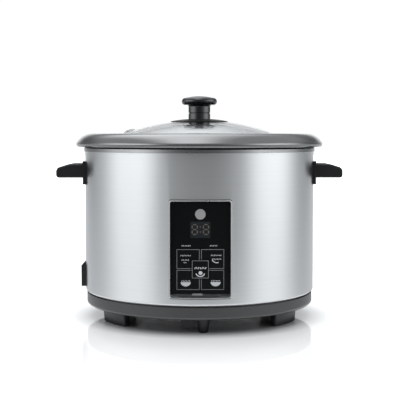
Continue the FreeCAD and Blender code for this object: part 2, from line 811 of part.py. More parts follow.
def knob_screw():
    head_z = knob_washer_top_z() - 1.2
    reach = knob_base_z + knob_collar_height + knob_groove + 6.5 - head_z
    return pan_head_screw(Vector(0, 0, 0), head_z, reach, screw_radius, 5.5, 3.2)


# Handles ----------------------------------------------------------------------------------

def soft_outline(points):
    """A closed XZ wire through corner points (x, z, radius), each corner turned by a tangent arc."""
    count = len(points)
    corners = []
    for i, (x, z, radius) in enumerate(points):
        corner = Vector(x, 0, z)
        if radius == 0:
            corners.append((corner, None, corner))
            continue
        before = (Vector(points[i - 1][0], 0, points[i - 1][1]) - corner).normalize()
        after_point = points[(i + 1) % count]
        after = (Vector(after_point[0], 0, after_point[1]) - corner).normalize()
        half = before.getAngle(after) / 2
        middle_way = (before + after).normalize()
        middle = corner + middle_way * (radius / math.sin(half) - radius)
        reach = radius / math.tan(half)
        corners.append((corner + before * reach, middle, corner + after * reach))
    edges = []
    for i, (start, middle, end) in enumerate(corners):
        if middle is not None:
            edges.append(Part.Arc(start, middle, end).toShape())
        following = corners[(i + 1) % count][0]
        if (following - end).Length > 1e-6:
            edges.append(Part.LineSegment(end, following).toShape())
    return Part.Wire(edges)


def ear_solid(inset):
    """The right ear, drawn in by inset, with its side edges rounded. An inset one is open below."""
    low = handle_bottom_z + ear_offset
    top = low + ear_height - inset
    tip = shell_radius + ear_reach - inset
    start = shell_radius - 8
    floor = low - (20.0 if inset else 0.0)
    half = ear_half_width - inset
    side = Part.Face(soft_outline([
        (start, floor, 0), (tip, floor, 0 if inset else ear_nose),
        (tip, top - ear_brow_drop, ear_brow_round - inset),
        (tip + inset - ear_brow_reach, top, 14.0), (start, top, 0)]))
    ear = moved(side, y=-half).extrude(Vector(0, 2 * half, 0))
    if inset:
        return ear
    rounded = [e for e in ear.Edges if e.BoundBox.YLength < 0.01 and e.BoundBox.XMax > start + 0.01]
    return ear.makeFillet(ear_edge, rounded)


def handle_right():
    ear = ear_solid(0).cut(disc(shell_radius, 0, 400))
    pocket = ear_solid(ear_wall)
    pocket = pocket.cut(disc(shell_radius + handle_pad_wall + ear_wall, 0, 400))
    for z, y in handle_hole_places():
        pocket = pocket.cut(Part.makeCylinder(4.5, 16.0, Vector(shell_radius, y, z), Vector(1, 0, 0)))
    pad = turned([(shell_radius, handle_bottom_z), (shell_radius + handle_pad_wall, handle_bottom_z),
                  (shell_radius + handle_pad_wall, handle_bottom_z + handle_pad_height),
                  (shell_radius, handle_bottom_z + handle_pad_height)],
                 2 * handle_pad_angle, -handle_pad_angle)
    pad = pad.makeFillet(handle_pad_corner, [e for e in pad.Edges if e.Length < handle_pad_wall + 0.01])
    handle = ear.cut(pocket).fuse(pad)
    for z, y in handle_hole_places():
        handle = handle.cut(Part.makeCylinder(thread_radius, 14.0, Vector(shell_radius - 3, y, z),
                                              Vector(1, 0, 0)))
    return handle


def handle_backing():
    """A steel strip inside the shell behind each handle."""
    outer = shell_inner - 0.05
    z, y = handle_hole_places()[0]
    strip = turned([(outer - 1.2, z - 8), (outer, z - 8), (outer, z + 8), (outer - 1.2, z + 8)],
                   24.0, -12.0)
    for z, y in handle_hole_places():
        strip = strip.cut(Part.makeCylinder(thread_radius + thread_clearance, 40.0,
                                            Vector(shell_radius - 30, y, z), Vector(1, 0, 0)))
    return strip


def handle_screws():
    pieces = []
    for z, y in handle_hole_places():
        seat = math.sqrt((shell_inner - 1.25) ** 2 - (abs(y) + head_radius) ** 2)
        head = Part.makeCylinder(head_radius, head_height, Vector(seat - head_height, y, z),
                                 Vector(1, 0, 0))
        shank = Part.makeCylinder(thread_radius, shell_radius + 10 - seat, Vector(seat, y, z),
                                  Vector(1, 0, 0))
        pieces.append(head.fuse(shank))
    return Part.makeCompound(pieces)


def other_side(shape):
    return about_z(shape, 180)


def both_sides(shape):
    return Part.makeCompound([shape, other_side(shape)])


# Key panel --------------------------------------------------------------------------------

def panel_prism(inset, front, back):
    """The panel's rounded outline, drawn in by inset, from one distance in front to another."""
    half = panel_width / 2 - inset
    return rounded_plate(-half, half, panel_bottom_z + inset, panel_top_z - inset, -front, -back,
                         max(panel_corner - inset, 0.8))


def fascia_plate(grow, front, back):
    """The flat fascia's outline, grown on every side."""
    half = fascia_half_width + grow
    return rounded_plate(-half, half, fascia_bottom_z - grow, fascia_top_z + grow, -front, -back,
                         bezel_round + grow)


def fascia_bezel():
    flange = panel_prism(0, shell_radius + 10, board_back)
    flange = flange.common(ring(shell_radius, shell_radius + panel_proud, 0, 400))
    body = panel_prism(panel_flange, shell_radius + 10, fascia_back - 3.4)
    body = body.common(disc(shell_radius + panel_proud, 0, 400))
    bezel = flange.fuse(body)
    mouth = shell_radius + panel_proud + 0.5
    half = fascia_half_width
    wide = panel_width / 2 - bezel_lip
    low = mouth_outline(-half, half, fascia_bottom_z, fascia_top_z, bezel_round, panel_plane)
    high = mouth_outline(-wide, wide, panel_bottom_z + bezel_lip, panel_top_z - bezel_lip,
                         bezel_round, mouth)
    bezel = bezel.cut(Part.makeLoft([low, high], True, True))
    bezel = bezel.cut(fascia_plate(fascia_lip + touch, panel_plane, board_back))
    for side in (-1, 1):
        for z in (panel_bottom_z + 18, panel_top_z - 28):
            bezel = bezel.fuse(snap_tab(side, z))
    return bezel


def mouth_outline(x0, x1, z0, z1, corner, distance):
    """One end of the panel's mouth, as a wire with rounded corners."""
    wire = soft_outline([(x0, z0, corner), (x1, z0, corner), (x1, z1, corner), (x0, z1, corner)])
    wire.translate(Vector(0, -distance, 0))
    return wire


def snap_tab(side, z):
    """A hook on the bezel's side that springs out behind the shell."""
    inner = panel_width / 2 - panel_flange - 0.5
    outer = panel_width / 2 + 0.6
    front = front_of(shell_inner - slip - 0.2, outer)
    x0, x1 = sorted((side * inner, side * outer))
    return block(x0, x1, front, front + 5.0, z, z + 10.0)


def key_boxes():
    """Each key as (x0, x1, z0, z1); the four outer ones are notched by the middle one."""
    low = panel_bottom_z + key_block_bottom
    middle = low + key_lower_height
    upper = middle + key_row_spacing
    edge = key_spacing / 2
    return {
        "key_bottom_left": (-key_block_half_width, -edge, low, middle),
        "key_bottom_right": (edge, key_block_half_width, low, middle),
        "key_top_left": (-key_block_half_width, -edge, upper, upper + key_upper_height),
        "key_top_right": (edge, key_block_half_width, upper, upper + key_upper_height)}


def middle_key_box():
    z = panel_bottom_z + key_block_bottom + key_lower_height + key_row_spacing / 2
    return (-key_centre_half_width, key_centre_half_width, z - key_centre_height / 2,
            z + key_centre_height / 2)


def key_prism(name, grow, front, back):
    """A key's outline, grown on every side, between two distances from the centre line."""
    if name == "key_middle":
        x0, x1, z0, z1 = middle_key_box()
        return rounded_plate(x0 - grow, x1 + grow, z0 - grow, z1 + grow, -front, -back, 0.6)
    x0, x1, z0, z1 = key_boxes()[name]
    body = rounded_plate(x0 - grow, x1 + grow, z0 - grow, z1 + grow, -front, -back, 0.6)
    return body.cut(key_prism("key_middle", key_spacing - grow, front + 1, back - 1))


key_names = ["key_top_left", "key_top_right", "key_middle", "key_bottom_left", "key_bottom_right"]


def key_switch_place(name):
    """(x, z) of the switch behind a key."""
    if name == "key_middle":
        x0, x1, z0, z1 = middle_key_box()
        return ((x0 + x1) / 2, (z0 + z1) / 2)
    x0, x1, z0, z1 = key_boxes()[name]
    outward = 3.0
    x = (x0 + x1) / 2 + (outward if x0 > 0 else -outward)
    z = (z0 + z1) / 2 + (2.0 if "top" in name else -2.0)
    return (x, z)


switch_height = 3.4
switch_button = 0.6


def key(name):
    cap = key_prism(name, 0, panel_plane + key_proud, fascia_back)
    flange = key_prism(name, key_flange, fascia_back - touch / 2, fascia_back - 1.0)
    x, z = key_switch_place(name)
    stub_end = board_front + switch_height + switch_button + key_travel + touch
    neck = key_prism(name, 0, fascia_back + 0.1, fascia_back - 1.0)
    stub = Part.makeCylinder(2.0, fascia_back - 1.0 - stub_end, Vector(x, -(fascia_back - 1.0), z),
                             Vector(0, 1, 0))
    return cap.fuse(neck).fuse(flange).fuse(stub)


def tact_switches():
    pieces = []
    for name in key_names:
        x, z = key_switch_place(name)
        face = board_front + switch_height
        body = block(x - 3, x + 3, -face, -board_front, z - 3, z + 3)
        button = Part.makeCylinder(1.7, switch_button, Vector(x, -face - switch_button, z),
                                   Vector(0, 1, 0))
        pieces.append(body.fuse(button))
    return Part.makeCompound(pieces)


def window_box(grow, front, back):
    top = fascia_top_z - window_drop
    half = window_width / 2 + grow
    return block(-half, half, -front, -back, top - window_height - grow, top + grow)


post_radius = 1.7


def board_post_holes():
    """(x, z) of the fascia's four posts, outside the keys."""
    x = fascia_half_width - 2.4
    return [(way * x, z) for way in (-1, 1) for z in (fascia_bottom_z + 10, fascia_top_z - 10)]


def fascia_panel():
    panel = fascia_plate(fascia_lip, panel_plane, fascia_back)
    for name in key_names:
        panel = panel.cut(key_prism(name, key_gap, panel_plane + 5, fascia_back - 5))
    panel = panel.cut(window_box(touch, panel_plane + 5, fascia_back - 5))
    for x, z in board_post_holes():
        post = Part.makeCylinder(post_radius, fascia_back - board_front + 0.5,
                                 Vector(x, -fascia_back - 0.5, z), Vector(0, 1, 0))
        panel = panel.fuse(post)
    for x, z in board_post_holes():
        panel = panel.cut(Part.makeCylinder(0.8, 20.0, Vector(x, -board_front - 5.5, z),
                                            Vector(0, 1, 0)))
    return panel


def display_window():
    return window_box(0, panel_plane, panel_plane - 1.2)


def display_module():
    return window_box(-0.5, panel_plane - 1.3, board_front)


def badge_disc():
    z = fascia_top_z - badge_drop
    return Part.makeCylinder(badge_radius, 0.4, Vector(0, -panel_plane - 0.4, z), Vector(0, 1, 0))


def control_board():
    board = fascia_plate(-0.5, board_front, board_back)
    for x, z in board_post_holes():
        board = board.cut(Part.makeCylinder(1.0, 20.0, Vector(x, -board_front - 5, z), Vector(0, 1, 0)))
    return board


def panel_screws():
    pieces = []
    for x, z in board_post_holes():
        head = Part.makeCylinder(post_radius, 1.3, Vector(x, -board_back, z), Vector(0, 1, 0))
        shank = Part.makeCylinder(0.8, board_wall + 5.0, Vector(x, -board_front - 5.0, z),
                                  Vector(0, 1, 0))
        pieces.append(head.fuse(shank))
    return Part.makeCompound(pieces)


# Mains inlet and electronics --------------------------------------------------------------

def inlet_face_x():
    return -(shell_radius + inlet_proud)


def inlet_housing():
    face = inlet_face_x()
    half = inlet_width / 2
    top = inlet_bottom_z + inlet_height
    plate = Part.Face(outline([
        (face, inlet_bottom_z), (-shell_radius + 12, inlet_bottom_z), (-shell_radius + 12, top),
        (face + inlet_chamfer, top), (face, top - inlet_chamfer)]))
    plate.translate(Vector(0, -half, 0))
    plate = plate.extrude(Vector(0, inlet_width, 0))
    plate = plate.cut(disc(shell_radius, 0, 400))
    body_half = inlet_body_width / 2
    back = face + socket_depth + 4.5
    body = block(face + 2.0, back, -body_half, body_half,
                 inlet_centre_z - inlet_body_height / 2, inlet_centre_z + inlet_body_height / 2)
    housing = plate.fuse(body)
    housing = housing.cut(socket_space(0))
    for y, z in inlet_pin_places():
        housing = housing.cut(block(back - 10, back + 10, y - 1, y + 1, z - 2, z + 2))
    return housing


def socket_space(inset):
    """The inlet's socket, with its two lower corners cut off."""
    half, high = socket_width / 2 - inset, socket_height / 2 - inset
    cut = 3.5
    wire = Part.makePolygon([Vector(0, y, z) for y, z in (
        (-half, high), (half, high), (half, -high + cut), (half - cut, -high),
        (-half + cut, -high), (-half, -high + cut), (-half, high))])
    space = Part.Face(wire).extrude(Vector(socket_depth + 1, 0, 0))
    return moved(space, inlet_face_x() - 1, 0, inlet_centre_z)


def inlet_pin_places():
    """(y, z) of the line, neutral and earth pins."""
    return [(-7.0, inlet_centre_z + 2.0), (7.0, inlet_centre_z + 2.0), (0.0, inlet_centre_z - 2.0)]


def inlet_pins():
    back = inlet_face_x() + socket_depth
    return Part.makeCompound([
        block(back - socket_pin_length, back + 12, y - 1, y + 1, z - 2, z + 2)
        for y, z in inlet_pin_places()])


power_board_z = floor_top_z + 6.0
power_board_box = (25.0, 93.0, 12.0, 70.0)


def board_post_places():
    x0, x1, y0, y1 = power_board_box
    return [Vector(x0 + 5, y1 - 4, 0), Vector(x1 - 4, y0 + 4, 0), Vector(x1 - 4, y1 - 5, 0)]


def power_board():
    x0, x1, y0, y1 = power_board_box
    board = block(x0, x1, y0, y1, power_board_z, power_board_z + board_wall)
    for place in board_post_places():
        board = board.cut(disc(1.4, 0, 100, place))
    return board


def board_screws():
    return Part.makeCompound([
        pan_head_screw(p, power_board_z + board_wall, board_wall + 5.0, 1.25, 2.4, 1.4, up=False)
        for p in board_post_places()])


def relay():
    z = power_board_z + board_wall
    return block(30, 58, 16, 29, z, z + 15.5)


def transformer():
    z = power_board_z + board_wall
    core = block(64, 82, 26, 58, z + 3, z + 20)
    winding = block(61, 85, 33, 51, z, z + 23)
    return core.fuse(winding)


def wire(points, radius):
    """A lead along straight runs joined by tangent arcs."""
    edges = []
    here = points[0]
    for i in range(1, len(points) - 1):
        before, corner, after = points[i - 1], points[i], points[i + 1]
        a, b = (before - corner), (after - corner)
        run = min(a.Length, b.Length)
        a.normalize()
        b.normalize()
        turn = math.pi - a.getAngle(b)
        reach = 0.45 * run
        bend = reach / math.tan(turn / 2)
        start, end = corner + a * reach, corner + b * reach
        mid_way = (a + b)
        mid_way.normalize()
        middle = corner + mid_way * (bend / math.cos(turn / 2) - bend)
        edges.append(Part.LineSegment(here, start).toShape())
        edges.append(Part.Arc(start, middle, end).toShape())
        here = end
    edges.append(Part.LineSegment(here, points[-1]).toShape())
    path = Part.Wire(edges)
    first = points[1] - points[0]
    circle = Part.Wire(Part.Circle(points[0], first, radius).toShape())
    return path.makePipeShell([circle], True, True)


def mains_leads():
    pieces = []
    back = inlet_face_x() + socket_depth + 12
    for (y, z), end_y in zip(inlet_pin_places()[:2], (33.0, 40.0)):
        pieces.append(wire([
            Vector(back, y, z), Vector(back + 14, y, z), Vector(back + 34, y + 4, z - 14),
            Vector(back + 60, y + 12, z - 21), Vector(back + 92, end_y - 8, z - 20),
            Vector(33, end_y, power_board_z + 12), Vector(33, end_y, power_board_z + board_wall)], 1.3))
    return Part.makeCompound(pieces)


def heater_leads():
    pieces = []
    low = plate_bottom_z - heater_terminal_drop
    for place, start in zip(heater_ends(), (Vector(44, 31.5, 0), Vector(36, 58, 0))):
        z = power_board_z + board_wall
        pieces.append(wire([
            Vector(start.x, start.y, z), Vector(start.x, start.y, z + 10),
            Vector(place.x, place.y, low - 9), Vector(place.x, place.y, low)], 1.3))
    return Part.makeCompound(pieces)


def control_cable():
    z = power_board_z + board_wall
    top = fascia_bottom_z + 6
    return wire([
        Vector(50, 14, z), Vector(50, 14, z + 10), Vector(44, -8, z + 12), Vector(36, -34, z + 10),
        Vector(26, -62, z + 9), Vector(18, -90, z + 8), Vector(14, -108, z + 12),
        Vector(12, -114, top), Vector(12, -board_back, top)], 1.6)


# Hand out ---------------------------------------------------------------------------------

def all_parts():
    parts = {
        "outer_shell": outer_shell(), "top_collar": top_collar(), "base_pan": base_pan(),
        "intake_hood": intake_hood(), "bottom_cover": bottom_cover(),
        "cover_screws": cover_screws(), "arc_feet": arc_feet(), "foot_pads": foot_pads(),
        "front_stud": front_stud(), "tie_fasteners": tie_fasteners(),
        "heating_plate": heating_plate(), "heater_tube": heater_tube(),
        "plate_standoffs": plate_standoffs(), "standoff_screws": standoff_screws(),
        "sensor_bracket": sensor_bracket(), "sensor_cap": sensor_cap(),
        "sensor_clip": sensor_clip(), "sensor_spring": sensor_spring(),
        "thermal_fuse": thermal_fuse(), "lid_glass": lid_glass(), "lid_band": lid_band(),
        "steam_vent": steam_vent(), "knob_skirt": knob_skirt(), "knob_collar": knob_collar(),
        "knob_cap": knob_cap(), "knob_gasket": knob_gasket(), "knob_washer": knob_washer(),
        "knob_screw": knob_screw(), "fascia_bezel": fascia_bezel(),
        "fascia_panel": fascia_panel(), "display_window": display_window(),
        "display_module": display_module(), "badge_disc": badge_disc(),
        "control_board": control_board(), "tact_switches": tact_switches(),
        "panel_screws": panel_screws(), "inlet_housing": inlet_housing(),
        "inlet_pins": inlet_pins(), "power_board": power_board(),
        "board_screws": board_screws(), "relay": relay(), "transformer": transformer(),
        "mains_leads": mains_leads(), "heater_leads": heater_leads(),
        "control_cable": control_cable(), "handle_right": handle_right(),
        "handle_left": other_side(handle_right()),
        "handle_backings": both_sides(handle_backing()),
        "handle_screws": both_sides(handle_screws())}
    for name in key_names:
        parts[name] = key(name)
    parts.update(pot_pieces())
    parts.update(casing_pieces())
    return parts


os.makedirs("parts", exist_ok=True)
for node, shape in all_parts().items():
    shape.exportStep(f"parts/{node}.step")
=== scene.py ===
"""Looks for the drum rice cooker: materials, panel print, floor, light and camera.

Metres, in the CAD's frame.
"""
import json
import math

import bmesh
import bpy
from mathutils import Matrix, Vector


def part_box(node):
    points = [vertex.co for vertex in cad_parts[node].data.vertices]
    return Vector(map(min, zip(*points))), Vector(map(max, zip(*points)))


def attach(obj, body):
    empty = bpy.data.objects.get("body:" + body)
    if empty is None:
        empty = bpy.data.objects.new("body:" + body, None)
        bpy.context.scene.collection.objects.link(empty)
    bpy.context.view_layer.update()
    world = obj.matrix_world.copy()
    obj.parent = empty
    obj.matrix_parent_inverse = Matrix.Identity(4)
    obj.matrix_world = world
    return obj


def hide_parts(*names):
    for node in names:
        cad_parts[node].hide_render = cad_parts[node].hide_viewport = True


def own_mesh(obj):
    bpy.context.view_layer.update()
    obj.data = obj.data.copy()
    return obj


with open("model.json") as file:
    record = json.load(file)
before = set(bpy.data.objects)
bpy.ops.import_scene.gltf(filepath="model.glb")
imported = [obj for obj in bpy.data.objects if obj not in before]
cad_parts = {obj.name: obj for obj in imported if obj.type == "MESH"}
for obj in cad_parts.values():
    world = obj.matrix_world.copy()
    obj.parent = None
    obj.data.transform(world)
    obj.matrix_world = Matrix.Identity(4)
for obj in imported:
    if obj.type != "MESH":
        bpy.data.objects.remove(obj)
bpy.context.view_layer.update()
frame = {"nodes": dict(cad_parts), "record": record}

nodes = frame["nodes"]
MM = 0.001


# Materials --------------------------------------------------------------------------------

class Look:
    """A node material with short names for the nodes that the surfaces here share."""

    def __init__(self, name, **sockets):
        self.material = bpy.data.materials.new(name)
        self.material.use_nodes = True
        self.tree = self.material.node_tree
        self.shader = self.tree.nodes["Principled BSDF"]
        for key, value in sockets.items():
            self.set(key.replace("_", " "), value)

    def set(self, socket, value):
        if isinstance(value, bpy.types.NodeSocket):
            self.tree.links.new(value, self.shader.inputs[socket])
        else:
            self.shader.inputs[socket].default_value = value

    def node(self, kind, **values):
        node = self.tree.nodes.new("ShaderNode" + kind)
        for key, value in values.items():
            setattr(node, key, value)
        return node

    def link(self, start, end):
        self.tree.links.new(start, end)

    def place(self, scale):
        """Object coordinates, stretched by scale along X, Y and Z."""
        coords = self.node("TexCoord")
        mapping = self.node("Mapping")
        mapping.inputs["Scale"].default_value = scale
        self.link(coords.outputs["Object"], mapping.inputs["Vector"])
        return mapping.outputs["Vector"]

    def position(self):
        """The X, Y and Z of the shaded point."""
        geometry = self.node("NewGeometry")
        axes = self.node("SeparateXYZ")
        self.link(geometry.outputs["Position"], axes.inputs[0])
        return axes.outputs

    def reach(self):
        """The distance of the shaded point from the origin."""
        geometry = self.node("NewGeometry")
        length = self.node("VectorMath", operation="LENGTH")
        self.link(geometry.outputs["Position"], length.inputs[0])
        return length.outputs["Value"]

    def noise(self, scale, stretch=(1, 1, 1), detail=3.0, rough=0.6):
        noise = self.node("TexNoise")
        noise.inputs["Scale"].default_value = scale
        noise.inputs["Detail"].default_value = detail
        noise.inputs["Roughness"].default_value = rough
        self.link(self.place(stretch), noise.inputs["Vector"])
        return noise.outputs["Fac"]

    def spread(self, value, low, high, start=0.3, end=0.7):
        """Maps value from start..end to low..high."""
        ranges = self.node("MapRange")
        for key, number in (("From Min", start), ("From Max", end), ("To Min", low), ("To Max", high)):
            ranges.inputs[key].default_value = number
        self.link(value, ranges.inputs["Value"])
        return ranges.outputs["Result"]

    def math(self, operation, a, b=0.0):
        node = self.node("Math", operation=operation)
        for socket, value in zip(node.inputs, (a, b)):
            if isinstance(value, bpy.types.NodeSocket):
                self.link(value, socket)
            else:
                socket.default_value = value
        return node.outputs[0]

    def mix(self, factor, a, b):
        """Colour a to colour b by factor."""
        mix = self.node("Mix", data_type="RGBA")
        for socket, value in ((mix.inputs[0], factor), (mix.inputs[6], a), (mix.inputs[7], b)):
            if isinstance(value, bpy.types.NodeSocket):
                self.link(value, socket)
            else:
                socket.default_value = value if isinstance(value, float) else (*value, 1.0)
        return mix.outputs[2]

    def bump(self, height, distance, strength=1.0):
        bump = self.node("Bump")
        bump.inputs["Distance"].default_value = distance
        bump.inputs["Strength"].default_value = strength
        self.link(height, bump.inputs["Height"])
        self.link(bump.outputs["Normal"], self.shader.inputs["Normal"])

    def tangent_round_z(self):
        tangent = self.node("Tangent", direction_type="RADIAL", axis="Z")
        self.link(tangent.outputs["Tangent"], self.shader.inputs["Tangent"])


def grey(value, blue=0.0):
    return (value, value + blue * 0.5, value + blue)


def brushed_steel():
    """Satin steel with the brush lines running round the drum."""
    look = Look("brushed_shell", Metallic=1.0, Anisotropic=0.86, Anisotropic_Rotation=0.25)
    fine = look.noise(1.0, (9, 9, 5200), 4.0, 0.7)
    broad = look.noise(1.0, (4, 4, 700), 3.0, 0.6)
    patchy = look.noise(7.0, (1, 1, 1), 3.0)
    lines = look.math("ADD", look.math("MULTIPLY", fine, 0.6), look.math("MULTIPLY", broad, 0.4))
    tone = look.mix(look.spread(lines, 0.0, 1.0), grey(0.66, 0.016), grey(0.71, 0.016))
    look.set("Base Color", tone)
    rough = look.math("ADD", look.spread(lines, 0.31, 0.36), look.spread(patchy, -0.01, 0.015))
    look.set("Roughness", rough)
    look.tangent_round_z()
    hem_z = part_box("outer_shell")[0].z
    hem_height = 1.3 * MM
    hem = look.spread(look.position()["Z"], 0.0, 1.0, hem_z, hem_z + hem_height)
    look.bump(look.math("ADD", look.math("MULTIPLY", lines, 0.02), hem), 0.0006, 1.0)
    return look.material


def coated_metal(name, tone, rough, sparkle=0.05, metallic=0.85):
    """A satin coating with fine metal flake."""
    look = Look(name, Metallic=metallic)
    flake = look.noise(2600.0, detail=1.0)
    cloud = look.noise(22.0, detail=3.0)
    look.set("Base Color", look.mix(look.spread(flake, 0.0, 1.0), grey(tone * (1 - sparkle)),
                                    grey(tone * (1 + sparkle), 0.004)))
    look.set("Roughness", look.spread(cloud, rough - 0.03, rough + 0.04))
    look.bump(flake, 0.00001, 0.12)
    return look.material


def sheet_metal(name, tone, rough, warm=0.0):
    """Dull rolled or plated sheet, faintly streaked."""
    look = Look(name, Metallic=1.0)
    streak = look.noise(1.0, (900, 60, 60), 3.0)
    cloud = look.noise(40.0)
    low = (tone * 0.9 + warm, tone * 0.9, tone * 0.9 - warm)
    high = (tone * 1.06 + warm, tone * 1.06, tone * 1.06 - warm)
    look.set("Base Color", look.mix(look.spread(cloud, 0.0, 1.0), low, high))
    look.set("Roughness", look.spread(streak, rough - 0.05, rough + 0.07))
    look.bump(streak, 0.00002, 0.3)
    return look.material


def plastic(name, colour, rough, grain=0.00002, coat=0.0, scale=1500.0, shine=0.5):
    """Moulded plastic with a fine grain and slight wear in its shine."""
    look = Look(name, Specular_IOR_Level=shine)
    look.set("Coat Weight", coat)
    look.set("Coat Roughness", 0.05)
    wear = look.noise(18.0, detail=4.0)
    look.set("Base Color", look.mix(look.spread(wear, 0.0, 1.0), tuple(c * 0.92 for c in colour),
                                    tuple(c * 1.08 for c in colour)))
    look.set("Roughness", look.spread(wear, rough * 0.9, rough * 1.12))
    look.bump(look.noise(scale, detail=2.0), grain, 0.5)
    return look.material


def clear_glass():
    look = Look("clear_glass", Transmission_Weight=1.0, IOR=1.22)
    smear = look.noise(30.0, detail=4.0)
    look.set("Base Color", look.mix(look.spread(smear, 0.0, 1.0), (0.82, 0.838, 0.85), (0.84, 0.858, 0.87)))
    look.set("Roughness", look.spread(smear, 0.0, 0.03))
    return look.material


def frosted_silicone():
    look = Look("silicone_seal", Transmission_Weight=0.85, IOR=1.15)
    cloud = look.noise(60.0, detail=3.0)
    look.set("Base Color", look.mix(look.spread(cloud, 0.0, 1.0), grey(0.86, 0.01), grey(0.90, 0.01)))
    look.set("Roughness", look.spread(cloud, 0.30, 0.38))
    look.bump(look.noise(1500.0, detail=2.0), 0.00001, 0.5)
    return look.material


def bezel():
    """The panel's frame: a silver line round the mouth, black inside, a dark ledge with a light arch, and a
    painted shadow line along its top edge.
    """
    look = Look("grey_bezel_plastic")
    low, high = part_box("fascia_bezel")
    x, _, z = look.position()
    half, rounding = frame_half_width("fascia_bezel"), 2.6 * MM
    middle, tall = (low.z + high.z) / 2, (high.z - low.z) / 2

    def within(inset, top_inset, sharp=0.25 * MM):
        """1 inside the frame's outline drawn in by inset, 0 outside."""
        centre, reach = middle - top_inset / 2 + inset / 2, tall - inset / 2 - top_inset / 2
        sideways = look.math("SUBTRACT", look.math("ABSOLUTE", x), half - inset - rounding)
        dx = look.math("MAXIMUM", sideways, 0.0)
        up = look.math("ABSOLUTE", look.math("SUBTRACT", z, centre))
        dz = look.math("MAXIMUM", look.math("SUBTRACT", up, reach - rounding), 0.0)
        squares = look.math("ADD", look.math("MULTIPLY", dx, dx), look.math("MULTIPLY", dz, dz))
        away = look.math("SQRT", squares)
        return look.spread(away, 1.0, 0.0, rounding - sharp, rounding + sharp)

    wear = look.noise(25.0, detail=4.0)
    streak = look.noise(1.0, (60, 60, 2600), 3.0)
    silver = look.mix(look.spread(wear, 0.0, 1.0), grey(0.50, 0.01), grey(0.58, 0.01))
    foot = look.spread(z, 1.0, 0.0, low.z + 0.6 * MM, low.z + 0.9 * MM)
    # Painted shadow: the frame's top 0.8 mm is near-black (grey 0.02), standing in for the shade under the
    # shell's cut edge; the silver line runs round the rest.
    tone = look.mix(foot, look.mix(within(0.0, 0.8 * MM), grey(0.02), silver), grey(0.03))
    ledge = look.mix(look.spread(streak, 0.0, 1.0, 0.4, 0.75), grey(0.020, 0.001), grey(0.15, 0.01))
    floor_z = low.z + 5.2 * MM
    depth = look.spread(z, 1.0, 0.0, floor_z - 0.4 * MM, floor_z)
    inner = look.mix(depth, grey(0.005, 0.001), ledge)
    across = look.math("DIVIDE", look.math("ADD", x, 3.4 * MM), 6.2 * MM)
    rise = look.math("DIVIDE", look.math("SUBTRACT", z, low.z + 3.9 * MM), 2.8 * MM)
    bow = look.math("ADD", look.math("MULTIPLY", across, across), look.math("MULTIPLY", rise, rise))
    arch = look.math("MULTIPLY", look.spread(bow, 1.0, 0.0, 0.85, 1.05),
                     look.math("GREATER_THAN", rise, 0.0))
    inner = look.mix(look.math("MULTIPLY", arch, 0.8), inner, grey(0.30, 0.01))
    inside = within(1.3 * MM, 1.8 * MM)
    look.set("Base Color", look.mix(inside, tone, inner))
    look.set("Metallic", look.math("SUBTRACT", 0.3, look.math("MULTIPLY", inside, 0.3)))
    look.set("Roughness", look.spread(wear, 0.24, 0.34))
    look.set("Specular IOR Level", 0.35)
    look.bump(look.noise(1400.0, detail=2.0), 0.00001, 0.4)
    return look.material


def frame_half_width(name):
    """Half the width of the bezel's front frame, without its side hooks."""
    verts = [v.co for v in nodes[name].data.vertices]
    front = min(v.y for v in verts)
    return max(v.x for v in verts if v.z < min(w.z for w in verts) + 8 * MM and v.y < front + 6 * MM)


def circuit_board():
    look = Look("circuit_board", Roughness=0.35)
    tracks = look.node("TexBrick")
    tracks.inputs["Scale"].default_value = 300.0
    tracks.inputs["Mortar Size"].default_value = 0.06
    look.link(look.place((1, 1, 1)), tracks.inputs["Vector"])
    fac = look.math("MULTIPLY", tracks.outputs["Fac"], 0.6)
    look.set("Base Color", look.mix(fac, (0.015, 0.12, 0.05), (0.03, 0.22, 0.09)))
    look.bump(look.noise(500.0), 0.00002, 0.4)
    return look.material


def glow(name, colour, strength):
    """Display segments: a pale print with a faint light of its own."""
    look = Look(name, Roughness=0.5)
    speck = look.noise(900.0)
    tone = look.mix(look.spread(speck, 0.0, 1.0), tuple(c * 0.9 for c in colour), colour)
    look.set("Base Color", tone)
    look.set("Emission Color", tone)
    look.set("Emission Strength", strength)
    return look.material


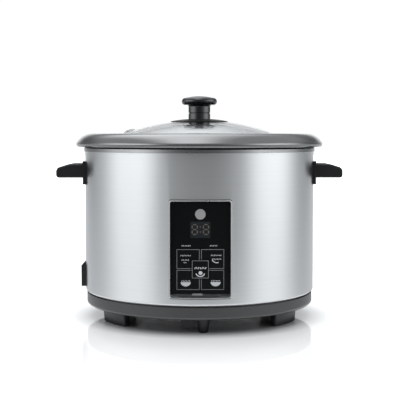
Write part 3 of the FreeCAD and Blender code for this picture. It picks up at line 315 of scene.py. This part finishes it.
looks = {
    "brushed_shell": brushed_steel(),
    "collar_band": coated_metal("collar_band", 0.31, 0.26, 0.03, 1.0),
    "grey_coated_pot": coated_metal("grey_coated_pot", 0.25, 0.17, 0.04, 0.92),
    "clear_glass": clear_glass(),
    "lid_band_steel": sheet_metal("lid_band_steel", 0.62, 0.22),
    "black_gloss_plastic": plastic("black_gloss_plastic", (0.0035, 0.0035, 0.0045), 0.12, 0.000003, 0.65),
    "black_satin_plastic": plastic("black_satin_plastic", (0.010, 0.010, 0.011), 0.42, 0.00001, shine=0.35),
    "dark_grey_plastic": coated_metal("dark_grey_plastic", 0.065, 0.34, 0.06, 0.4),
    "grey_bezel_plastic": bezel(),
    "black_fascia": plastic("black_fascia", (0.003, 0.0035, 0.004), 0.32, 0.000004, shine=0.16),
    "key_black": plastic("key_black", (0.003, 0.0035, 0.004), 0.36, 0.000004, shine=0.16),
    "smoked_window": plastic("smoked_window", (0.015, 0.018, 0.020), 0.20, 0.000002, shine=0.30),
    "badge_grey": coated_metal("badge_grey", 0.42, 0.40, 0.03, 0.5),
    "plated_steel": sheet_metal("plated_steel", 0.60, 0.30),
    "aluminised_can": sheet_metal("aluminised_can", 0.58, 0.36),
    "cast_aluminium": coated_metal("cast_aluminium", 0.56, 0.42, 0.08, 1.0),
    "heater_sheath": sheet_metal("heater_sheath", 0.30, 0.45, 0.02),
    "circuit_board": circuit_board(),
    "component_black": plastic("component_black", (0.02, 0.02, 0.022), 0.5),
    "brass_pin": sheet_metal("brass_pin", 0.55, 0.28, 0.14),
    "transformer_core": plastic("transformer_core", (0.10, 0.07, 0.045), 0.45),
    "rubber_pad": plastic("rubber_pad", (0.018, 0.018, 0.018), 0.75, 0.00004),
    "silicone_seal": frosted_silicone(),
    "wire_sleeve": plastic("wire_sleeve", (0.45, 0.42, 0.38), 0.6, 0.00008),
    "panel_print": plastic("panel_print", (0.20, 0.205, 0.215), 0.5, 0.000004),
    "panel_marks": plastic("panel_marks", (0.50, 0.51, 0.53), 0.5, 0.000004),
    "display_segment": glow("display_segment", (0.075, 0.066, 0.052), 0.12),
}

slot_of = {part["node"]: part["material_slot"] for part in frame["record"]["subparts"]}
for name, finish in slot_of.items():
    for slot in nodes[name].material_slots:
        slot.material = looks[finish]


# The sensor's spring, copied into an object of its own on the housing
# ----------------------------------------------

spring_node = nodes["sensor_spring"]
coil = bpy.data.objects.new("sensor_coil", spring_node.data.copy())
coil.matrix_world = spring_node.matrix_world
bpy.context.scene.collection.objects.link(coil)
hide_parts("sensor_spring")
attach(coil, "housing")
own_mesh(coil)


# Print on the panel and keys ----------------------------------------------------------------

class Print:
    """Thin raised shapes on a plane that faces the front, gathered into one mesh."""

    def __init__(self, plane_y, height=0.05 * MM):
        self.y = plane_y
        self.height = height
        self.verts, self.faces = [], []

    def polygon(self, points):
        """A filled shape from its (x, z) outline, anticlockwise as seen from the front."""
        base, count = len(self.verts), len(points)
        for depth in (self.y - self.height, self.y + 0.02 * MM):
            self.verts += [(x, depth, z) for x, z in points]
        self.faces.append([base + i for i in range(count)])
        self.faces.append([base + count + i for i in reversed(range(count))])
        for i in range(count):
            j = (i + 1) % count
            self.faces.append([base + j, base + i, base + count + i, base + count + j])

    def bar(self, x0, x1, z0, z1):
        self.polygon([(x0, z0), (x1, z0), (x1, z1), (x0, z1)])

    def path(self, points, width, closed=False):
        """A line of that width along the points, its corners mitred."""
        count = len(points)
        sides = []
        for i, point in enumerate(points):
            here = Vector(point)
            ways = []
            if closed or i > 0:
                ways.append((here - Vector(points[i - 1])).normalized())
            if closed or i < count - 1:
                ways.append((Vector(points[(i + 1) % count]) - here).normalized())
            normals = [Vector((-w.y, w.x)) for w in ways]
            middle = sum(normals, Vector((0, 0))).normalized()
            reach = width / 2 / max(middle.dot(normals[0]), 0.3)
            sides.append((here + middle * reach, here - middle * reach))
        last = count if closed else count - 1
        for i in range(last):
            (left, right), (left_next, right_next) = sides[i], sides[(i + 1) % count]
            self.polygon([tuple(right), tuple(right_next), tuple(left_next), tuple(left)])

    def arc(self, x, z, radius, start, end, width, steps=14):
        turn = (end - start) / steps
        self.path([around(x, z, radius, start + turn * i) for i in range(steps + 1)], width)

    def half_disc(self, x, z, radius, sag=1.0, steps=16):
        """A bowl: the lower half of a disc, flat on top."""
        points = [around(x, z, radius, 180 + 180 * i / steps) for i in range(steps + 1)]
        self.polygon([(px, z + (pz - z) * sag) for px, pz in points])

    def grain(self, x, z, length, width, tilt, steps=10):
        """One grain of rice."""
        a = math.radians(tilt)
        points = []
        for i in range(steps):
            t = 2 * math.pi * i / steps
            u, v = length / 2 * math.cos(t), width / 2 * math.sin(t)
            points.append((x + u * math.cos(a) - v * math.sin(a), z + u * math.sin(a) + v * math.cos(a)))
        self.polygon(points)

    def grains(self, x, z, count, pitch, tilt=62):
        for i in range(count):
            way = 1 if i % 2 else -1
            self.grain(x + (i - (count - 1) / 2) * pitch, z, 1.75 * MM, 0.75 * MM, 90 + way * (90 - tilt))

    def object(self, name, material, body):
        mesh = bpy.data.meshes.new(name)
        mesh.from_pydata(self.verts, [], self.faces)
        mesh.materials.append(looks[material])
        piece = bpy.data.objects.new(name, mesh)
        bpy.context.scene.collection.objects.link(piece)
        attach(piece, body)
        return piece


def around(x, z, radius, angle):
    a = math.radians(angle)
    return (x + radius * math.cos(a), z + radius * math.sin(a))


window_low, window_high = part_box("display_window")
middle_low, middle_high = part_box("key_middle")
line = 0.50 * MM
key_space = 1.7 * MM
middle_half = (middle_high.x - middle_low.x) / 2 - 0.5 * MM
middle_z = (middle_high.z + middle_low.z) / 2
middle_tall = (middle_high.z - middle_low.z) / 2 - 0.5 * MM


def outer_key_outline(name):
    """The outline of one of the four outer keys, open where the middle key's own line closes it."""
    low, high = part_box(name)
    trim = 0.5 * MM + line / 2 + 0.1 * MM
    x0, x1, z0, z1 = low.x + trim, high.x - trim, low.z + trim, high.z - trim
    reach, tall = middle_half + key_space, middle_tall + key_space
    side = -1 if low.x < -reach else 1
    outer, inner = (x0, x1) if side < 0 else (x1, x0)
    if "top" in name:
        return [(side * reach, z0), (outer, z0), (outer, z1), (inner, z1), (inner, middle_z + tall)]
    return [(side * reach, z1), (outer, z1), (outer, z0), (inner, z0), (inner, middle_z - tall)]


def key_print(name, steps):
    low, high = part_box(name)
    ink = Print(low.y)
    if name == "key_middle":
        trim = line / 2 + 0.1 * MM
        x, z = middle_half - trim, middle_tall - trim
        ink.path([(-x, middle_z - z), (x, middle_z - z), (x, middle_z + z), (-x, middle_z + z)], line, True)
    else:
        ink.path(outer_key_outline(name), line)
    ink.object(name + "_outline", "panel_print", name)
    marks = Print(low.y)
    steps(marks, low, high)
    marks.object(name + "_marks", "panel_marks", name)


def top_left(ink, low, high):
    x, z = low.x + 10.4 * MM, high.z - 7.5 * MM
    ink.grains(x, z, 7, 1.75 * MM)
    ink.grains(x - 0.3 * MM, z - 5.0 * MM, 5, 1.75 * MM)
    ink.arc(x - 0.6 * MM, z - 4.8 * MM, 3.2 * MM, 240, 300, 0.5 * MM)


def top_right(ink, low, high):
    x, z = high.x - 9.4 * MM, high.z - 7.3 * MM
    ink.grains(x, z, 7, 1.75 * MM)
    ink.grains(x + 0.6 * MM, z - 4.2 * MM, 6, 1.75 * MM)
    ink.arc(x + 0.8 * MM, z - 2.6 * MM, 5.6 * MM, 205, 290, 0.9 * MM)


def middle(ink, low, high):
    z = middle_z + 1.5 * MM
    for i in range(7):
        ink.grain((i - 3) * 1.95 * MM, z, 2.7 * MM, 0.95 * MM, 90 + (22 if i % 2 else -22))
    ink.grain(0.2 * MM, middle_z - 4.0 * MM, 4.4 * MM, 4.2 * MM, 0, 18)
    ink.arc(0.0, middle_z - 2.9 * MM, 5.0 * MM, 200, 340, 1.2 * MM)


def bottom_left(ink, low, high):
    x, z = low.x + 10.6 * MM, low.z + 9.0 * MM
    ink.half_disc(x, z, 5.6 * MM, 0.84)
    ink.grains(x, z + 1.3 * MM, 6, 1.7 * MM)


def bottom_right(ink, low, high):
    x, z = high.x - 9.9 * MM, low.z + 9.2 * MM
    ink.half_disc(x, z, 5.6 * MM, 0.84)
    ink.grains(x, z + 1.4 * MM, 6, 1.7 * MM)


for key, steps in (("key_top_left", top_left), ("key_top_right", top_right), ("key_middle", middle),
                   ("key_bottom_left", bottom_left), ("key_bottom_right", bottom_right)):
    key_print(key, steps)

housing = "housing"
panel_plane = window_low.y
labels = Print(panel_plane)
label_z = (window_low.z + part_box("key_top_left")[1].z) / 2 - 2.7 * MM
labels.grains(-15.8 * MM, label_z, 6, 1.75 * MM)
labels.grains(14.6 * MM, label_z, 5, 1.75 * MM)
labels.object("panel_labels", "panel_marks", housing)

# The outlines carry on over the fascia's ribs between the keys
ribs = Print(panel_plane)
inner, outer = 0.35 * MM, key_space - 0.45 * MM
for name in ("key_top_left", "key_top_right", "key_bottom_left", "key_bottom_right"):
    outline = outer_key_outline(name)
    side = -1 if outline[0][0] < 0 else 1
    up = 1 if "top" in name else -1
    x0, x1 = sorted((side * (middle_half + inner), side * (middle_half + outer)))
    along = outline[0][1]
    ribs.bar(x0, x1, along - line / 2, along + line / 2)
    z0, z1 = sorted((middle_z + up * (middle_tall + inner), middle_z + up * (middle_tall + outer)))
    ribs.bar(outline[-1][0] - line / 2, outline[-1][0] + line / 2, z0, z1)
ribs.object("rib_outlines", "panel_print", housing)

# The two seven-segment figures behind the smoked window
segments = Print(panel_plane, 0.03 * MM)
digit_wide, digit_tall, stroke = 5.6 * MM, 10.9 * MM, 1.35 * MM
digit_z = (window_low.z + window_high.z) / 2 + 0.4 * MM
for centre in (-6.2 * MM, 6.2 * MM):
    half, tall, slack = digit_wide / 2, digit_tall / 2, 0.35 * MM
    for z in (digit_z - tall, digit_z, digit_z + tall):
        segments.bar(centre - half + stroke / 2 + slack, centre + half - stroke / 2 - slack,
                     z - stroke / 2, z + stroke / 2)
    for x in (centre - half, centre + half):
        for z in (digit_z - tall, digit_z):
            segments.bar(x - stroke / 2, x + stroke / 2, z + stroke / 2 + slack,
                         z + tall - stroke / 2 - slack)
for z in (digit_z - digit_tall / 4, digit_z + digit_tall / 4):
    segments.bar(-stroke / 2, stroke / 2, z - stroke / 2, z + stroke / 2)
segments.object("display_figures", "display_segment", housing)


# Floor, light and camera ----------------------------------------------------------------------

def flat(name, x0, x1, y0, y1, z=0.0):
    mesh = bpy.data.meshes.new(name)
    mesh.from_pydata([(x0, y0, z), (x1, y0, z), (x1, y1, z), (x0, y1, z)], [], [(0, 1, 2, 3)])
    piece = bpy.data.objects.new(name, mesh)
    bpy.context.scene.collection.objects.link(piece)
    return piece


floor = flat("floor", -4.0, 4.0, -0.95, 9.0)
floor_look = Look("floor", Specular_IOR_Level=0.5)
from_middle = floor_look.reach()
# Painted shadow: close to the base the floor's colour drops to 0.42 and its glow is taken out, as the shade
# under the cooker.
outside_painted_shadow = floor_look.spread(from_middle, 0.0, 1.0, 0.118, 0.158)
floor_tone = floor_look.spread(floor_look.noise(3.0), 0.80, 0.82)
floor_shade = floor_look.math("MULTIPLY", floor_tone, floor_look.spread(outside_painted_shadow, 0.42, 1.0, 0.0, 1.0))
floor_look.set("Base Color", floor_shade)
floor_look.set("Roughness", floor_look.spread(floor_look.noise(6.0), 0.05, 0.08))
floor_look.set("Emission Color", (1.0, 1.0, 1.0, 1.0))
near_glow, white_glow = 0.14, 1.0
far_floor = floor_look.spread(from_middle, near_glow, white_glow, 0.55, 1.3)
floor_look.set("Emission Strength", floor_look.math("MULTIPLY", outside_painted_shadow, far_floor))
floor.data.materials.append(floor_look.material)
floor.visible_glossy = False

# A white room that the camera and the glass see and the metal doesn't mirror
room_radius = 12.0
dome_mesh = bpy.data.meshes.new("backdrop")
dome_form = bmesh.new()
bmesh.ops.create_uvsphere(dome_form, u_segments=48, v_segments=24, radius=room_radius)
dome_form.to_mesh(dome_mesh)
dome_form.free()
dome = bpy.data.objects.new("backdrop", dome_mesh)
bpy.context.scene.collection.objects.link(dome)
dome_look = Look("backdrop", Roughness=1.0, Specular_IOR_Level=0.0)
dome_look.set("Base Color", (0.0, 0.0, 0.0, 1.0))
dome_look.set("Emission Color", (1.0, 1.0, 1.0, 1.0))
dome_look.set("Emission Strength", 1.04)
dome_mesh.materials.append(dome_look.material)
dome.visible_diffuse = False
dome.visible_glossy = False
dome.visible_shadow = False

# What the metal mirrors in place of the white floor: a grey one, bright only close to the base
mirrored = flat("mirrored_floor", -4.0, 4.0, -0.95, 9.0, -0.5 * MM)
mirrored_look = Look("mirrored_floor", Roughness=1.0, Specular_IOR_Level=0.0)
mirrored_look.set("Base Color", (0.0, 0.0, 0.0, 1.0))
mirrored_reach = mirrored_look.reach()
mirrored_look.set("Emission Color", (0.97, 1.0, 1.02, 1.0))
mirrored_edge = mirrored_look.spread(mirrored_reach, 0.0, 1.0, 0.136, 0.144)
mirrored_glow = mirrored_look.spread(mirrored_reach, 1.5, 0.72, 0.165, 0.190)
dark_front = mirrored_look.spread(mirrored_look.position()["Y"], 0.12, 1.0, -0.48, -0.36)
mirrored_edge = mirrored_look.math("MULTIPLY", mirrored_edge, dark_front)
mirrored_look.set("Emission Strength", mirrored_look.math("MULTIPLY", mirrored_edge, mirrored_glow))
mirrored.data.materials.append(mirrored_look.material)
mirrored.visible_camera = False
mirrored.visible_diffuse = False
mirrored.visible_transmission = False
mirrored.visible_shadow = False


# Light by direction round the object: degrees from the front, minus to the left, and brightness
ROUND_LIGHT = [(-180, 0.40), (-164, 0.40), (-150, 0.15), (-126, 0.10), (-104, 0.36), (-86, 0.75),
               (-70, 0.82),
               (-56, 0.77), (-44, 0.48), (-32, 0.19), (-14, 0.095), (4, 0.085), (16, 0.105), (30, 0.18),
               (44, 0.32), (56, 0.66), (70, 0.84), (84, 0.84), (98, 0.54), (116, 0.13), (148, 0.15),
               (164, 0.40), (180, 0.40)]


def studio():
    """A wall behind that is white low down, bright screens at the sides, a dark front, a lamp overhead."""
    world = bpy.data.worlds.new("studio")
    world.use_nodes = True
    tree = world.node_tree
    background = tree.nodes["Background"]

    def node(kind, **values):
        made = tree.nodes.new("ShaderNode" + kind)
        for key, value in values.items():
            setattr(made, key, value)
        return made

    def math_node(operation, a, b=0.0):
        made = node("Math", operation=operation)
        for socket, value in zip(made.inputs, (a, b)):
            if isinstance(value, bpy.types.NodeSocket):
                tree.links.new(value, socket)
            else:
                socket.default_value = value
        return made.outputs[0]

    def smooth(value, low, high, at_low, at_high):
        made = node("MapRange", interpolation_type="SMOOTHSTEP")
        for key, number in (("From Min", low), ("From Max", high), ("To Min", at_low), ("To Max", at_high)):
            made.inputs[key].default_value = number
        tree.links.new(value, made.inputs["Value"])
        return made.outputs["Result"]

    coords = node("TexCoord")
    axes = node("SeparateXYZ")
    tree.links.new(coords.outputs["Generated"], axes.inputs[0])
    x, y, z = axes.outputs
    turn = math_node("ARCTAN2", x, math_node("MULTIPLY", y, -1.0))
    share = math_node("ADD", math_node("DIVIDE", turn, 2 * math.pi), 0.5)
    ramp = node("ValToRGB")
    ramp.color_ramp.interpolation = "CARDINAL"
    elements = ramp.color_ramp.elements
    for _ in ROUND_LIGHT[2:]:
        elements.new(0.5)
    for element, (angle, value) in zip(elements, ROUND_LIGHT):
        element.position = angle / 360 + 0.5
        element.color = (value, value, value, 1.0)
    tree.links.new(share, ramp.inputs["Fac"])
    off_lamp_line = math_node("ABSOLUTE", math_node("ADD", x, 0.11))
    lamp = math_node("MULTIPLY", smooth(off_lamp_line, 0.05, 0.43, 1.0, 0.0),
                     smooth(y, -0.75, -0.45, 0.25, 1.0))
    above = math_node("ADD", math_node("MULTIPLY", lamp, 0.62), 0.24)
    mix = node("Mix", data_type="FLOAT")
    tree.links.new(smooth(z, 0.38, 0.66, 0.0, 1.0), mix.inputs[0])
    dark_wall = math_node("MULTIPLY", smooth(math_node("ABSOLUTE", turn), 2.3, 2.7, 0.0, 1.0),
                          smooth(z, 0.19, 0.27, 0.0, 0.72))
    around_light = math_node("MULTIPLY", ramp.outputs["Color"], math_node("SUBTRACT", 1.0, dark_wall))
    tree.links.new(around_light, mix.inputs[2])
    tree.links.new(above, mix.inputs[3])
    tree.links.new(mix.outputs[0], background.inputs["Strength"])
    background.inputs["Color"].default_value = (2.54, 2.61, 2.65, 1.0)
    bpy.context.scene.world = world


studio()


def soft_box(name, place, aim, wide, tall, power):
    light = bpy.data.lights.new(name, "AREA")
    light.shape = "RECTANGLE"
    light.size, light.size_y = wide, tall
    light.energy = power
    lamp = bpy.data.objects.new(name, light)
    lamp.location = place
    lamp.rotation_euler = (Vector(aim) - Vector(place)).to_track_quat("-Z", "Y").to_euler()
    lamp.visible_camera = False
    lamp.visible_glossy = False
    lamp.visible_transmission = False
    bpy.context.scene.collection.objects.link(lamp)


soft_box("top_box", (0.0, 0.2, 1.9), (0.0, 0.0, 0.1), 1.6, 1.2, 22.0)

bpy.context.scene.view_settings.view_transform = "Standard"

camera_data = bpy.data.cameras.new("camera")
camera_data.lens = 87.8
camera_data.sensor_width = 36.0
camera_data.clip_start = 0.01
camera = bpy.data.objects.new("camera", camera_data)
camera.location = (-0.0097, -1.204, 0.223)
camera.rotation_euler = (math.pi / 2 - 0.068, 0.0, -0.0087)
bpy.context.scene.collection.objects.link(camera)
bpy.context.scene.camera = camera
